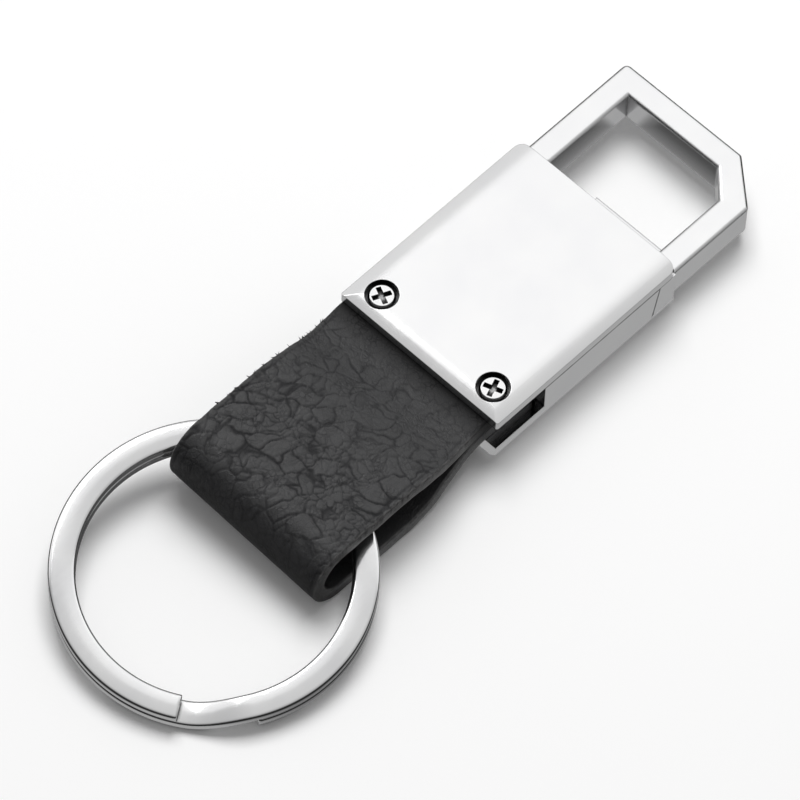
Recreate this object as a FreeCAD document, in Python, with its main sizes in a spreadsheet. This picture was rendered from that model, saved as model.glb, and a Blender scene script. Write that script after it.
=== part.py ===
import FreeCAD, Part
import math
import os
from types import SimpleNamespace

Vec = FreeCAD.Vector
doc = FreeCAD.newDocument("belt_key_clip")

# Driving dimensions in millimetres (angles in degrees)
SIZES = {
    # Housing: shell below, cover above, mouth at +X, strap at -X
    "body_len": 26.4,
    "body_wid": 22.0,
    "body_thk": 7.5,
    "front_thk": 1.5,
    "cover_thk": 1.6,
    "wall_thk": 1.3,
    "front_edge_run": 2.4,
    "front_edge_drop": 1.2,
    "cover_edge_run": 2.4,
    "cover_edge_drop": 0.5,
    "mouth_corner_rad": 1.0,
    "strap_corner_rad": 0.25,
    "front_bevel_run": 2.0,
    "front_bevel_drop": 0.5,
    "cover_bevel_run": 2.0,
    "cover_bevel_drop": 0.35,
    "strap_cut_len": 7.1,
    "seam_len": 2.5,
    "seam_lean": 0.9,
    "seam_gap": 0.12,
    "notch_from_side": 12.6,
    "notch_deep_len": 2.2,
    "notch_shallow_len": 2.1,
    "notch_deep": 1.5,
    "notch_shallow": 1.0,
    # Cover screws
    "screw_inset_x": 2.7,
    "screw_inset_y": 3.2,
    "screw_dia": 1.6,
    "screw_len": 5.4,
    "screw_head_dia": 2.9,
    "screw_head_thk": 0.75,
    "screw_rim": 0.5,
    "screw_crown_dia": 2.5,
    "near_screw_turn": 20.0,
    "far_screw_turn": 65.0,
    "screw_bore_dia": 3.6,
    "screw_bore_depth": 0.95,
    "recess_len": 2.1,
    "recess_wid": 0.55,
    "recess_depth": 0.45,
    # Mouth block and its pegs
    "block_len": 5.2,
    "block_recess": 0.05,
    "peg_dia": 1.6,
    "peg_len": 1.7,
    "peg_spread": 13.6,
    # Hook
    "hook_reach": 15.6,
    "hook_wid": 21.2,
    "bar_wid": 2.9,
    "hook_thk": 4.1,
    "hook_cut_x": 4.4,
    "hook_cut_y": 5.0,
    "hook_inner_cut": 2.8,
    "hook_round": 0.6,
    "hook_bevel": 0.25,
    "tip_slope": 0.9,
    "mouth_gap": 0.08,
    "arm_wid": 1.4,
    "arm_thk": 3.0,
    "arm_past": 3.0,
    "swivel_side": 1.5,
    "hub_dia": 3.2,
    "hub_flat": 2.6,
    "hub_len": 2.0,
    # Rod, cross pin, spring, washer and clip
    "rod_dia": 2.0,
    "rod_tail": 0.7,
    "rod_cover": 0.5,
    "groove_dia": 1.4,
    "pin_dia": 0.8,
    "pin_head_dia": 1.4,
    "pin_head_thk": 0.2,
    "spring_len": 8.0,
    "spring_dia": 3.4,
    "wire_dia": 0.4,
    "spring_turns": 5,
    "washer_dia": 3.7,
    "washer_thk": 0.4,
    "clip_dia": 3.2,
    "clip_thk": 0.4,
    "clip_mouth": 1.1,
    # Leather strap and split ring
    "strap_wid": 20.4,
    "strap_side": 0.5,
    "leather_thk": 1.65,
    "strap_reach": 25.8,
    "strap_grip": 6.8,
    "loop_rad": 3.1,
    "loop_twist": 0.65,
    "loop_len": 8.4,
    "layer_gap": 0.12,
    "ring_dia": 33.0,
    "ring_wid": 2.75,
    "turn_thk": 1.2,
    "turn_gap": 0.06,
    "wire_round": 0.3,
    "ring_slack": 1.3,
    "ring_side": 1.1,
    "ring_roll": 4.6,
    "ring_joint": 226.0,
    "joint_span": 26.0,
    "joint_slit": 1.4,
    "joint_steps": 6,
    # Clearances
    "run_fit": 0.05,
    "thread_fit": 0.02,
    "hub_fit": 0.25,
    "seat_gap": 0.04,
    "floor_gap": 0.02,
}
S = SimpleNamespace(**SIZES)

sheet = doc.addObject("Spreadsheet::Sheet", "Sizes")
for row, (alias, value) in enumerate(SIZES.items(), start=1):
    sheet.set("A%d" % row, alias)
    sheet.set("B%d" % row, str(value))
    sheet.setAlias("B%d" % row, alias)
doc.recompute()

# Places that several pieces share
half_wid = S.body_wid / 2
mouth_x = S.body_len / 2
strap_x = -S.body_len / 2
wall_top = S.body_thk - S.cover_thk
mid_z = (S.front_thk + wall_top) / 2
swivel_y = -S.swivel_side
land_z = wall_top - 2 * S.leather_thk - S.layer_gap - 2 * S.seat_gap
screw_x = strap_x + S.screw_inset_x
screw_y = half_wid - S.screw_inset_y
head_seat_z = S.body_thk - S.screw_bore_depth
block_front = mouth_x - S.block_recess
block_back = mouth_x - S.block_len
peg_x = mouth_x - (S.block_recess + S.seam_len) / 2
fold_x = strap_x - S.strap_reach + S.loop_rad + S.leather_thk / 2
eye_x = fold_x + S.loop_len / 2
eye_z = S.floor_gap + S.leather_thk / 2 + S.loop_rad + S.loop_twist
hook_start = mouth_x + S.mouth_gap
hook_end = mouth_x + S.hook_reach
hook_side = S.hook_wid / 2
hub_back = hook_start - S.hub_len
arm_front = hook_start + S.arm_wid
pin_x = hook_start - S.hub_len / 2
washer_front = block_back - S.spring_len
washer_back = washer_front - S.washer_thk
clip_front = washer_back - S.run_fit
clip_back = clip_front - S.clip_thk
rod_front = arm_front - S.rod_cover
rod_back = clip_back - S.run_fit - S.rod_tail


def flat(point):
    return Vec(point[0], point[1], 0)


def outline(start, *moves):
    """Closed outline: each move is an end point, or (through, end) for an arc."""
    curves = []
    here = start
    for move in moves:
        if isinstance(move[0], tuple):
            through, end = move
            curves.append(Part.Arc(flat(here), flat(through), flat(end)))
        else:
            end = move
            curves.append(Part.LineSegment(flat(here), flat(end)))
        here = end
    if math.dist(here, start) > 1e-6:
        curves.append(Part.LineSegment(flat(here), flat(start)))
    return curves


def circle(centre, radius):
    return Part.Circle(flat(centre), Vec(0, 0, 1), radius)


def rectangle(low, high):
    return outline(low, (high[0], low[1]), high, (low[0], high[1]))


def arc_middle(centre, start, end):
    """Middle of the shorter arc round centre from start to end."""
    radius = math.dist(centre, start)
    lean = (start[0] + end[0] - 2 * centre[0], start[1] + end[1] - 2 * centre[1])
    scale = radius / math.hypot(*lean)
    return (centre[0] + lean[0] * scale, centre[1] + lean[1] * scale)


def crown(face_point, side_point):
    """Middle of the arc that leaves a level face at face_point and ends at side_point."""
    run = side_point[0] - face_point[0]
    drop = side_point[1] - face_point[1]
    centre = (face_point[0], face_point[1] + (run * run + drop * drop) / (2 * drop))
    return arc_middle(centre, face_point, side_point)


def new_body(label):
    body = doc.addObject("PartDesign::Body", label)
    body.Label = label
    return body


def origin_feature(body, role):
    return [feature for feature in body.Origin.OriginFeatures if feature.Role == role][0]


def add_sketch(body, name, plane, curves, height=None):
    """Sketch on an origin plane of the body, lifted along its normal by an expression."""
    sketch = body.newObject("Sketcher::SketchObject", name)
    sketch.AttachmentSupport = [(origin_feature(body, plane), "")]
    sketch.MapMode = "FlatFace"
    if height is not None:
        sketch.setExpression("AttachmentOffset.Base.z", height)
    for curve in curves:
        sketch.addGeometry(curve, False)
    doc.recompute()
    return sketch


def add_pad(body, sketch, length, both_sides=False, backwards=False):
    pad = body.newObject("PartDesign::Pad", sketch.Name + "_pad")
    pad.Profile = sketch
    pad.setExpression("Length", length)
    pad.SideType = "Symmetric" if both_sides else "One side"
    pad.Reversed = backwards
    sketch.Visibility = False
    doc.recompute()
    return pad


def add_cut(body, sketch, length=None, both_sides=False, backwards=False):
    cut = body.newObject("PartDesign::Pocket", sketch.Name + "_cut")
    cut.Profile = sketch
    cut.SideType = "Symmetric" if both_sides else "One side"
    if length is None:
        cut.Type = "ThroughAll"
    else:
        cut.setExpression("Length", length)
    cut.Reversed = backwards
    before = cut.BaseFeature.Shape.Volume
    doc.recompute()
    if cut.Shape.Volume > before - 1e-6:
        raise ValueError(cut.Name + " takes nothing away")
    return cut


def edges_where(shape, test):
    return ["Edge%d" % (i + 1) for i, edge in enumerate(shape.Edges) if test(edge)]


def add_dressing(body, kind, base, edge_names, size_property, size):
    dressing = body.newObject(kind, base.Name + "_" + kind.split("::")[1].lower())
    dressing.Base = (base, edge_names)
    dressing.setExpression(size_property, size)
    doc.recompute()
    return dressing


def peg_places():
    return [(peg_x, side * S.peg_spread / 2) for side in (-1, 1)]


def screw_places():
    return [(screw_x, side * screw_y) for side in (-1, 1)]


def trim_corners(body, name, end_x, radius):
    """Round both plan corners of a plate at one end."""
    inward = -math.copysign(radius, end_x)
    spare = math.copysign(1.0, end_x)
    curves = []
    for side in (-1, 1):
        edge_y = side * half_wid
        centre = (end_x + inward, edge_y - side * radius)
        start = (end_x, edge_y - side * radius)
        end = (end_x + inward, edge_y)
        curves += outline(
            start,
            (arc_middle(centre, start, end), end),
            (end_x + inward, edge_y + side),
            (end_x + spare, edge_y + side),
            (end_x + spare, edge_y - side * radius),
        )
    add_cut(body, add_sketch(body, name, "XY_Plane", curves), both_sides=True)


def build_front_shell():
    body = new_body("front_shell")
    inner = half_wid - S.wall_thk
    face = half_wid - S.front_edge_run
    section = outline(
        (-half_wid, wall_top),
        (-half_wid, S.front_edge_drop),
        (crown((-face, 0), (-half_wid, S.front_edge_drop)), (-face, 0)),
        (face, 0),
        (crown((face, 0), (half_wid, S.front_edge_drop)), (half_wid, S.front_edge_drop)),
        (half_wid, wall_top),
        (inner, wall_top),
        (inner, S.front_thk),
        (-inner, S.front_thk),
        (-inner, wall_top),
    )
    shell = add_sketch(body, "shell_section", "YZ_Plane", section)
    add_pad(body, shell, "Sizes.body_len", both_sides=True)

    # Raised land that the leather is clamped on
    land = rectangle((strap_x, -half_wid), (strap_x + S.strap_cut_len, half_wid))
    land_height = (
        "Sizes.body_thk - Sizes.cover_thk - 2 * Sizes.leather_thk - Sizes.layer_gap - 2 * Sizes.seat_gap"
    )
    land_base = add_sketch(body, "strap_land", "XY_Plane", land, "Sizes.front_edge_drop")
    add_pad(body, land_base, land_height + " - Sizes.front_edge_drop")
    strap_cut = rectangle((strap_x - 1, land_z), (strap_x + S.strap_cut_len, S.body_thk))
    add_cut(body, add_sketch(body, "strap_opening", "XZ_Plane", strap_cut), both_sides=True)

    # Side walls stop short of the mouth at a leaning seam
    seam_x = mouth_x - S.seam_len
    mouth_cut = outline(
        (seam_x - S.seam_lean, S.front_thk),
        (mouth_x + 1, S.front_thk),
        (mouth_x + 1, S.body_thk),
        (seam_x, S.body_thk),
        (seam_x, wall_top),
    )
    add_cut(body, add_sketch(body, "mouth_opening", "XZ_Plane", mouth_cut), both_sides=True)

    bevel = outline(
        (strap_x - 1, -1), (strap_x + S.front_bevel_run, -1), (strap_x + S.front_bevel_run, 0),
        (strap_x, S.front_bevel_drop), (strap_x - 1, S.front_bevel_drop),
    )
    add_cut(body, add_sketch(body, "strap_end_bevel", "XZ_Plane", bevel), both_sides=True)

    notch_y = S.notch_from_side - half_wid
    step_y = notch_y + S.notch_deep_len
    notch_end = step_y + S.notch_shallow_len
    round_start = (mouth_x - S.notch_shallow, notch_end - S.notch_shallow / 2)
    round_end = (mouth_x - S.notch_shallow / 2, notch_end)
    round_centre = (round_end[0], round_start[1])
    notch = outline(
        (mouth_x + 1, notch_y),
        (mouth_x - S.notch_deep, notch_y),
        (mouth_x - S.notch_deep, step_y),
        (mouth_x - S.notch_shallow, step_y),
        round_start,
        (arc_middle(round_centre, round_start, round_end), round_end),
        (mouth_x + 1, notch_end),
    )
    add_cut(body, add_sketch(body, "mouth_notch", "XY_Plane", notch, "Sizes.front_thk"))

    holes = [circle(place, S.screw_dia / 2 + S.thread_fit) for place in screw_places()]
    tip_height = "Sizes.body_thk - Sizes.screw_bore_depth - Sizes.screw_len - Sizes.seat_gap"
    hole_tops = add_sketch(body, "screw_holes", "XY_Plane", holes, land_height)
    add_cut(body, hole_tops, land_height + " - (" + tip_height + ")")

    pegs = [circle(place, S.peg_dia / 2) for place in peg_places()]
    add_pad(body, add_sketch(body, "shell_pegs", "XY_Plane", pegs, "Sizes.front_thk"), "Sizes.peg_len")
    return body


def build_back_cover():
    body = new_body("back_cover")
    face = half_wid - S.cover_edge_run
    lip_z = S.body_thk - S.cover_edge_drop
    section = outline(
        (-half_wid, wall_top),
        (half_wid, wall_top),
        (half_wid, lip_z),
        (crown((face, S.body_thk), (half_wid, lip_z)), (face, S.body_thk)),
        (-face, S.body_thk),
        (crown((-face, S.body_thk), (-half_wid, lip_z)), (-half_wid, lip_z)),
    )
    cover = add_sketch(body, "cover_section", "YZ_Plane", section)
    add_pad(body, cover, "Sizes.body_len", both_sides=True)
    trim_corners(body, "mouth_corners", mouth_x, S.mouth_corner_rad)
    trim_corners(body, "strap_corners", strap_x, S.strap_corner_rad)

    bevel_top = (strap_x + S.cover_bevel_run, S.body_thk)
    bevel_low = (strap_x, S.body_thk - S.cover_bevel_drop)
    bevel = outline(
        (strap_x - 1, S.body_thk + 1), (bevel_top[0], S.body_thk + 1), bevel_top,
        (crown(bevel_top, bevel_low), bevel_low), (strap_x - 1, bevel_low[1]),
    )
    add_cut(body, add_sketch(body, "cover_bevel", "XZ_Plane", bevel), both_sides=True)

    bores = [circle(place, S.screw_bore_dia / 2) for place in screw_places()]
    holes = [circle(place, S.screw_dia / 2 + S.run_fit) for place in screw_places()]
    add_cut(
        body,
        add_sketch(body, "head_bores", "XY_Plane", bores, "Sizes.body_thk"),
        "Sizes.screw_bore_depth",
    )
    add_cut(body, add_sketch(body, "screw_ways", "XY_Plane", holes, "Sizes.body_thk"))

    pegs = [circle(place, S.peg_dia / 2) for place in peg_places()]
    add_pad(
        body,
        add_sketch(body, "cover_pegs", "XY_Plane", pegs, "Sizes.body_thk - Sizes.cover_thk"),
        "Sizes.peg_len",
        backwards=True,
    )
    return body


def build_screw():
    """One screw with its head's seat at z = 0 and its axis on Z."""
    body = new_body("screw_pattern")
    head = S.screw_head_dia / 2
    shank = S.screw_dia / 2
    profile = outline(
        (0, -S.screw_len),
        (0, S.screw_head_thk),
        (S.screw_crown_dia / 2, S.screw_head_thk),
        (head, S.screw_rim),
        (head, 0),
        (shank, 0),
        (shank, -S.screw_len + shank / 2),
        (shank / 2, -S.screw_len),
    )
    sketch = add_sketch(body, "screw_profile", "XZ_Plane", profile)
    turn = body.newObject("PartDesign::Revolution", "screw_turn")
    turn.Profile = sketch
    turn.ReferenceAxis = (origin_feature(body, "Z_Axis"), [""])
    turn.Angle = 360
    doc.recompute()

    # Cross recess
    reach = S.recess_len / 2
    side = S.recess_wid / 2
    arm = [(reach, -side), (reach, side), (side, side)]
    points = []
    for quarter in range(4):
        cos = round(math.cos(quarter * math.pi / 2))
        sin = round(math.sin(quarter * math.pi / 2))
        points += [(x * cos - y * sin, x * sin + y * cos) for x, y in arm]
    cross = add_sketch(body, "recess", "XY_Plane", outline(*points), "Sizes.screw_head_thk")
    add_cut(body, cross, "Sizes.recess_depth")
    return body


def build_cover_screws(pattern):
    screws = doc.addObject("Part::Feature", "cover_screws")
    copies = []
    for turn, (x, y) in zip((S.near_screw_turn, S.far_screw_turn), screw_places()):
        copy = pattern.Shape.copy()
        copy.rotate(Vec(0, 0, 0), Vec(0, 0, 1), turn)
        copy.translate(Vec(x, y, head_seat_z))
        copies.append(copy)
    screws.Shape = Part.makeCompound(copies)
    return screws


def build_mouth_block():
    """Block with a flange that shows in each side, its end leaning with the seam."""
    body = new_body("mouth_block")
    seam_x = mouth_x - S.seam_len + S.seam_gap
    flange = outline(
        (block_front, S.front_thk), (block_front, wall_top), (seam_x, wall_top),
        (seam_x - S.seam_lean, S.front_thk),
    )
    flange_wid = "Sizes.body_wid - 2 * Sizes.run_fit"
    add_pad(body, add_sketch(body, "flange", "XZ_Plane", flange), flange_wid, both_sides=True)
    inner_side = half_wid - S.wall_thk - S.run_fit
    core = rectangle((block_back, -inner_side), (block_front, inner_side))
    core_height = "Sizes.body_thk - Sizes.cover_thk - Sizes.front_thk"
    add_pad(body, add_sketch(body, "block_core", "XY_Plane", core, "Sizes.front_thk"), core_height)
    hub_way = [circle((swivel_y, mid_z), S.hub_dia / 2 + S.hub_fit)]
    add_cut(
        body,
        add_sketch(body, "hub_way", "YZ_Plane", hub_way, "Sizes.body_len / 2"),
        "Sizes.hub_len - Sizes.mouth_gap + Sizes.hub_fit",
    )
    rod_way = [circle((swivel_y, mid_z), S.rod_dia / 2 + S.run_fit)]
    add_cut(body, add_sketch(body, "rod_way", "YZ_Plane", rod_way, "Sizes.body_len / 2"))
    seats = [circle(place, S.peg_dia / 2 + S.thread_fit) for place in peg_places()]
    add_cut(body, add_sketch(body, "peg_holes", "XY_Plane", seats, "Sizes.body_thk"))
    return body


def build_hook():
    body = new_body("hook")
    near = -hook_side
    inner_near = near + S.bar_wid
    inner_far = hook_side - S.bar_wid
    inner_end = hook_end - S.bar_wid
    plan = outline(
        (hook_start, near),
        (hook_end - S.hook_cut_x, near),
        (hook_end, near + S.hook_cut_y),
        (hook_end, hook_side),
        (hook_start, hook_side),
        (hook_start, inner_far + S.tip_slope / 2),
        (hook_start + S.tip_slope, inner_far),
        (inner_end, inner_far),
        (inner_end, inner_near + S.hook_inner_cut),
        (inner_end - S.hook_inner_cut, inner_near),
        (hook_start, inner_near),
    )
    low = "(Sizes.front_thk + Sizes.body_thk - Sizes.cover_thk - Sizes.hook_thk) / 2"
    bar = add_pad(body, add_sketch(body, "hook_plan", "XY_Plane", plan, low), "Sizes.hook_thk")

    def on_outer_corner(edge):
        upright = len(edge.Vertexes) == 2 and abs(edge.tangentAt(edge.FirstParameter).z) > 0.99
        place = edge.CenterOfMass
        return upright and place.x > hook_end - S.hook_cut_x - 0.01 and (
            place.x > hook_end - 0.01 or place.y < near + 0.01
        )

    corners = edges_where(bar.Shape, on_outer_corner)
    rounded = add_dressing(body, "PartDesign::Fillet", bar, corners, "Radius", "Sizes.hook_round")

    def on_broad_face(edge):
        off_middle = abs(edge.CenterOfMass.z - mid_z)
        return abs(off_middle - S.hook_thk / 2) < 1e-4

    rims = edges_where(rounded.Shape, on_broad_face)
    add_dressing(body, "PartDesign::Chamfer", rounded, rims, "Size", "Sizes.hook_bevel")

    # Cross arm from the long leg to the hub on the swivel axis
    arm_low = mid_z - S.arm_thk / 2
    arm = rectangle((inner_near - S.bar_wid / 2, arm_low), (swivel_y + S.arm_past, arm_low + S.arm_thk))
    start = "Sizes.body_len / 2 + Sizes.mouth_gap"
    add_pad(body, add_sketch(body, "arm_section", "YZ_Plane", arm, start), "Sizes.arm_wid")

    # Hub with two flats, where the cross pin's heads sit
    radius = S.hub_dia / 2
    flat_z = S.hub_flat / 2
    flat_y = math.sqrt(radius * radius - flat_z * flat_z)
    hub = outline(
        (swivel_y - flat_y, mid_z + flat_z),
        (swivel_y + flat_y, mid_z + flat_z),
        ((swivel_y + radius, mid_z), (swivel_y + flat_y, mid_z - flat_z)),
        (swivel_y - flat_y, mid_z - flat_z),
        ((swivel_y - radius, mid_z), (swivel_y - flat_y, mid_z + flat_z)),
    )
    add_pad(
        body,
        add_sketch(body, "hub_section", "YZ_Plane", hub, start + " - Sizes.hub_len"),
        "Sizes.hub_len + Sizes.arm_wid",
    )
    rod_seat = [circle((swivel_y, mid_z), S.rod_dia / 2 + S.thread_fit)]
    add_cut(
        body,
        add_sketch(body, "rod_seat", "YZ_Plane", rod_seat, start + " - Sizes.hub_len"),
        "Sizes.hub_len + Sizes.arm_wid - Sizes.rod_cover + Sizes.thread_fit",
        backwards=True,
    )
    pin_way = [circle((pin_x, swivel_y), S.pin_dia / 2 + S.thread_fit)]
    add_cut(body, add_sketch(body, "pin_way", "XY_Plane", pin_way, "Sizes.body_thk"))
    return body


def build_swivel_rod():
    body = new_body("swivel_rod")
    axis = (swivel_y, mid_z)
    wide = S.rod_dia / 2
    narrow = S.groove_dia / 2
    groove_front = clip_front + S.run_fit
    groove_back = clip_back - S.run_fit
    profile = outline(
        (rod_back, 0), (rod_back, wide), (groove_back, wide), (groove_back, narrow),
        (groove_front, narrow), (groove_front, wide), (rod_front, wide), (rod_front, 0),
    )
    sketch = add_sketch(body, "rod_profile", "XY_Plane", profile)
    turn = body.newObject("PartDesign::Revolution", "rod_turn")
    turn.Profile = sketch
    turn.ReferenceAxis = (origin_feature(body, "X_Axis"), [""])
    turn.Angle = 360
    doc.recompute()
    hole = [circle((pin_x, 0), S.pin_dia / 2 + S.thread_fit)]
    add_cut(body, add_sketch(body, "pin_hole", "XY_Plane", hole), both_sides=True)
    body.Placement = FreeCAD.Placement(Vec(0, axis[0], axis[1]), FreeCAD.Rotation())
    doc.recompute()
    return body


def build_cross_pin():
    body = new_body("cross_pin")
    shank = add_sketch(body, "pin_shank", "XY_Plane", [circle((pin_x, 0), S.pin_dia / 2)])
    add_pad(body, shank, "Sizes.hub_flat + Sizes.pin_head_thk", both_sides=True)
    head = [circle((pin_x, 0), S.pin_head_dia / 2)]
    seat = "Sizes.hub_flat / 2 + Sizes.thread_fit"
    add_pad(body, add_sketch(body, "top_head", "XY_Plane", head, seat), "Sizes.pin_head_thk")
    low_head = add_sketch(body, "low_head", "XY_Plane", head, "-(" + seat + ")")
    add_pad(body, low_head, "Sizes.pin_head_thk", backwards=True)
    body.Placement = FreeCAD.Placement(Vec(0, swivel_y, mid_z), FreeCAD.Rotation())
    doc.recompute()
    return body


def build_spring_washer():
    body = new_body("spring_washer")
    curves = [
        circle((swivel_y, mid_z), S.washer_dia / 2),
        circle((swivel_y, mid_z), S.rod_dia / 2 + S.run_fit),
    ]
    back = "Sizes.body_len / 2 - Sizes.block_len - Sizes.spring_len - Sizes.washer_thk"
    add_pad(body, add_sketch(body, "washer_section", "YZ_Plane", curves, back), "Sizes.washer_thk")
    return body


def build_retaining_clip():
    """Open ring that snaps into the rod's groove."""
    body = new_body("retaining_clip")
    outer = S.clip_dia / 2
    inner = S.groove_dia / 2 + S.thread_fit
    gape = S.clip_mouth / 2
    outer_y = math.sqrt(outer * outer - gape * gape)
    inner_y = math.sqrt(inner * inner - gape * gape)
    section = outline(
        (outer_y, gape),
        ((-outer, 0), (outer_y, -gape)),
        (inner_y, -gape),
        ((-inner, 0), (inner_y, gape)),
    )
    add_pad(body, add_sketch(body, "clip_section", "YZ_Plane", section), "Sizes.clip_thk")
    body.Placement = FreeCAD.Placement(Vec(clip_back, swivel_y, mid_z), FreeCAD.Rotation())
    doc.recompute()
    return body


def biarc(start, start_way, end, end_way):
    """Two arcs that join start to end, leaving and arriving along the given ways."""
    chord = end - start
    ways = start_way + end_way
    spread = 2 * (1 - start_way.dot(end_way))
    lean = chord.dot(ways)
    reach = (math.sqrt(lean * lean + spread * chord.dot(chord)) - lean) / spread
    joint = (start + start_way * reach + end - end_way * reach) * 0.5
    arcs = []
    for here, way, there in ((start, start_way, joint), (end, end_way * -1, joint)):
        line = there - here
        across = way - line * (way.dot(line) / line.dot(line))
        rise = line.Length / 2 * math.tan(way.getAngle(line) / 2)
        middle = (here + there) * 0.5 + across.normalize() * rise
        ends = (here, there) if here is start else (there, here)
        arcs.append(Part.Arc(ends[0], middle, ends[1]).toShape())
    return arcs


def build_return_spring():
    spring = doc.addObject("Part::Feature", "return_spring")
    radius = (S.spring_dia - S.wire_dia) / 2
    first_x = washer_front + S.seat_gap + S.wire_dia / 2
    last_x = block_back - S.seat_gap - S.wire_dia / 2
    pitch = (last_x - first_x) / S.spring_turns

    def on_helix(turns):
        angle = 2 * math.pi * turns
        across = radius * math.cos(angle)
        up = radius * math.sin(angle)
        place = Vec(first_x + pitch * turns, swivel_y + across, mid_z + up)
        way = Vec(pitch / (2 * math.pi), -up, across)
        return place, way.normalize()

    arcs = []
    quarters = int(round(4 * S.spring_turns))
    for quarter in range(quarters):
        start, start_way = on_helix(quarter / 4)
        end, end_way = on_helix((quarter + 1) / 4)
        arcs += biarc(start, start_way, end, end_way)
    start, start_way = on_helix(0)
    outward = Vec(0, 1, 0)
    sideways = start_way.cross(outward)
    corners = []
    for sixth in range(7):
        angle = math.pi * (sixth + 0.5) / 3
        offset = outward * math.cos(angle) + sideways * math.sin(angle)
        corners.append(start + offset * (S.wire_dia / 2))
    section = Part.makePolygon(corners)
    spring.Shape = Part.Wire(arcs).makePipeShell([section], True, False)

    samples = [on_helix(step / 48)[0] for step in range(12 * quarters + 1)]
    gap = min(
        samples[i].distanceToPoint(samples[j]) - S.wire_dia
        for i in range(len(samples))
        for j in range(i + 24, len(samples))
    )
    print("return_spring least gap to itself %.2f mm" % gap)
    return spring


def s_bend(start, end, offset):
    """Arc moves along an S-bend from start to end, level at both ends, for a line offset upwards."""
    run = end[0] - start[0]
    rise = end[1] - start[1]
    radius = (run * run + rise * rise) / (4 * abs(rise))
    sign = math.copysign(1, rise)
    turn = math.atan2(abs(rise) / 2, abs(run) / 2) * 2
    first_rad = radius - sign * offset
    last_rad = radius + sign * offset
    first_centre = (start[0], start[1] + sign * radius)
    last_centre = (end[0], end[1] - sign * radius)
    forward = math.copysign(1, run)

    def on_arc(centre, arc_radius, angle, side):
        return (
            centre[0] + forward * side * arc_radius * math.sin(angle),
            centre[1] - sign * side * arc_radius * math.cos(angle),
        )

    joint = on_arc(first_centre, first_rad, turn, 1)
    return [
        (on_arc(first_centre, first_rad, turn / 2, 1), joint),
        (on_arc(last_centre, last_rad, turn / 2, -1), (end[0], end[1] + offset)),
    ]


def strap_profile(fold_z):
    """Side outline of the folded leather, with its fold centred at fold_z."""
    half = S.leather_thk / 2
    inside = strap_x + S.strap_grip
    leave = strap_x - S.leather_thk / 2
    loop_x = fold_x + S.loop_len
    top_in = wall_top - S.seat_gap - half
    low_in = land_z + S.seat_gap + half
    top_out = fold_z + S.loop_rad
    low_out = fold_z - S.loop_rad
    outer = S.loop_rad + half
    hollow = S.loop_rad - half
    return outline(
        (inside, top_in + half),
        (leave, top_in + half),
        *s_bend((leave, top_in), (loop_x, top_out), half),
        (fold_x, top_out + half),
        ((fold_x - outer, fold_z), (fold_x, low_out - half)),
        (loop_x, low_out - half),
        *s_bend((loop_x, low_out), (leave, low_in), -half),
        (inside, low_in - half),
        (inside, low_in + half),
        (leave, low_in + half),
        *s_bend((leave, low_in), (loop_x, low_out), half),
        (fold_x, low_out + half),
        ((fold_x - hollow, fold_z), (fold_x, top_out - half)),
        (loop_x, top_out - half),
        *s_bend((loop_x, top_out), (leave, top_in), -half),
        (inside, top_in - half),
    )


def build_strap():
    """Leather folded to a loop: two clamped layers that part round the ring, a little twisted."""
    body = new_body("strap")
    near_curves = strap_profile(eye_z - S.loop_twist)
    far_curves = strap_profile(eye_z + S.loop_twist)
    near_edge = "Sizes.strap_side + Sizes.strap_wid / 2"
    far_edge = "Sizes.strap_side - Sizes.strap_wid / 2"
    near = add_sketch(body, "near_side", "XZ_Plane", near_curves, near_edge)
    far = add_sketch(body, "far_side", "XZ_Plane", far_curves, far_edge)
    loft = body.newObject("PartDesign::AdditiveLoft", "strap_loft")
    loft.Profile = near
    loft.Sections = [far]
    loft.Ruled = True
    doc.recompute()
    holes = [circle(place, S.screw_dia / 2 + S.run_fit) for place in screw_places()]
    add_cut(body, add_sketch(body, "strap_holes", "XY_Plane", holes, "Sizes.body_thk"))
    return body


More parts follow.
